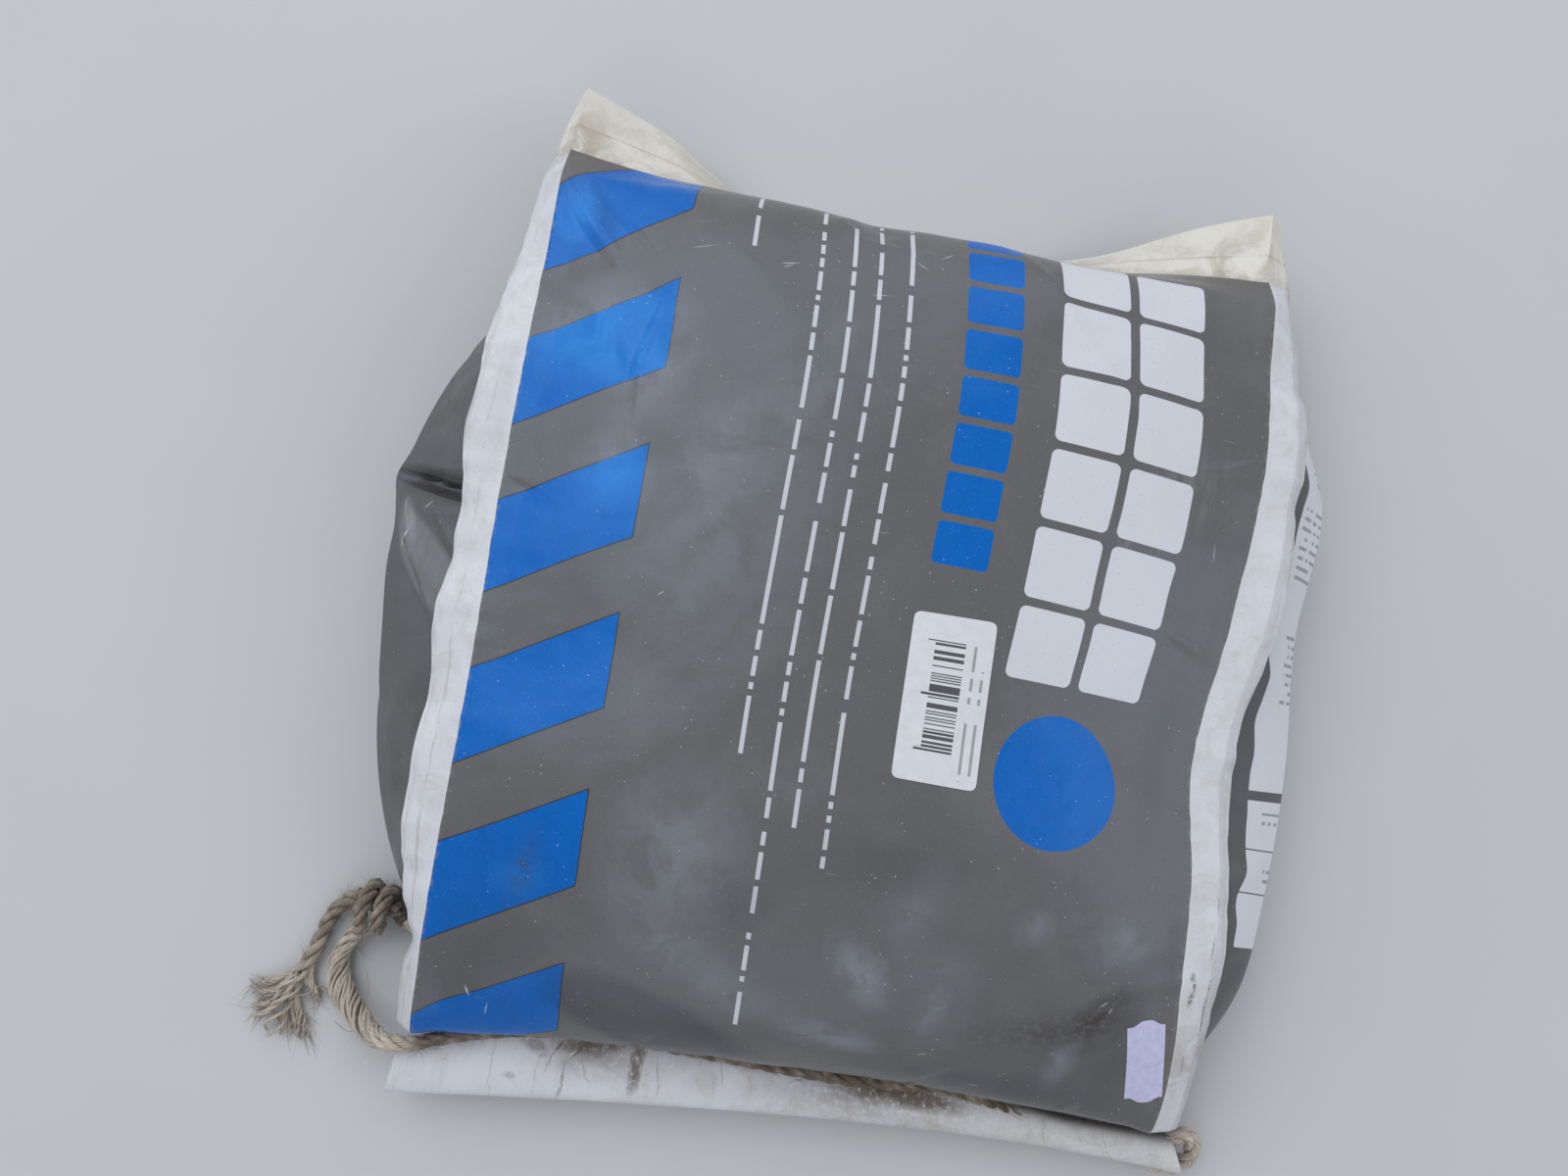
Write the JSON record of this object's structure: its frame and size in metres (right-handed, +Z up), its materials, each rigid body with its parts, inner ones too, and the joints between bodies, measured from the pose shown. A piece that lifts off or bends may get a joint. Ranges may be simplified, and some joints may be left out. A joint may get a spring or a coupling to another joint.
{
  "type": "bag of grout",
  "caption": "Side-gusset plastic film bag filled with powdered grout, lying flat, with welded edge fins, a flat sealed end and a folded hem that holds a knotted fibre rope.",
  "frame": {"origin": "under the middle of the sack, on the surface it lies on", "axes": "+Z up through the filled sack, +Y along its tube towards the flat sealed margin, -Y towards the hem with the rope"},
  "size_m": [0.3328, 0.337, 0.0715],
  "materials": {
    "film": "satin laminated film, dark grey with white edges",
    "rope": "twisted natural fibre",
    "label_white": "satin paper sticker",
    "label_lilac": "matt paper sticker"
  },
  "bodies": {
    "root": {"film_sack": "film", "rope_handle": "rope", "rope_knot": "rope", "rope_tail": "rope", "barcode_label": "label_white", "price_label": "label_lilac"}
  },
  "joints": []
}
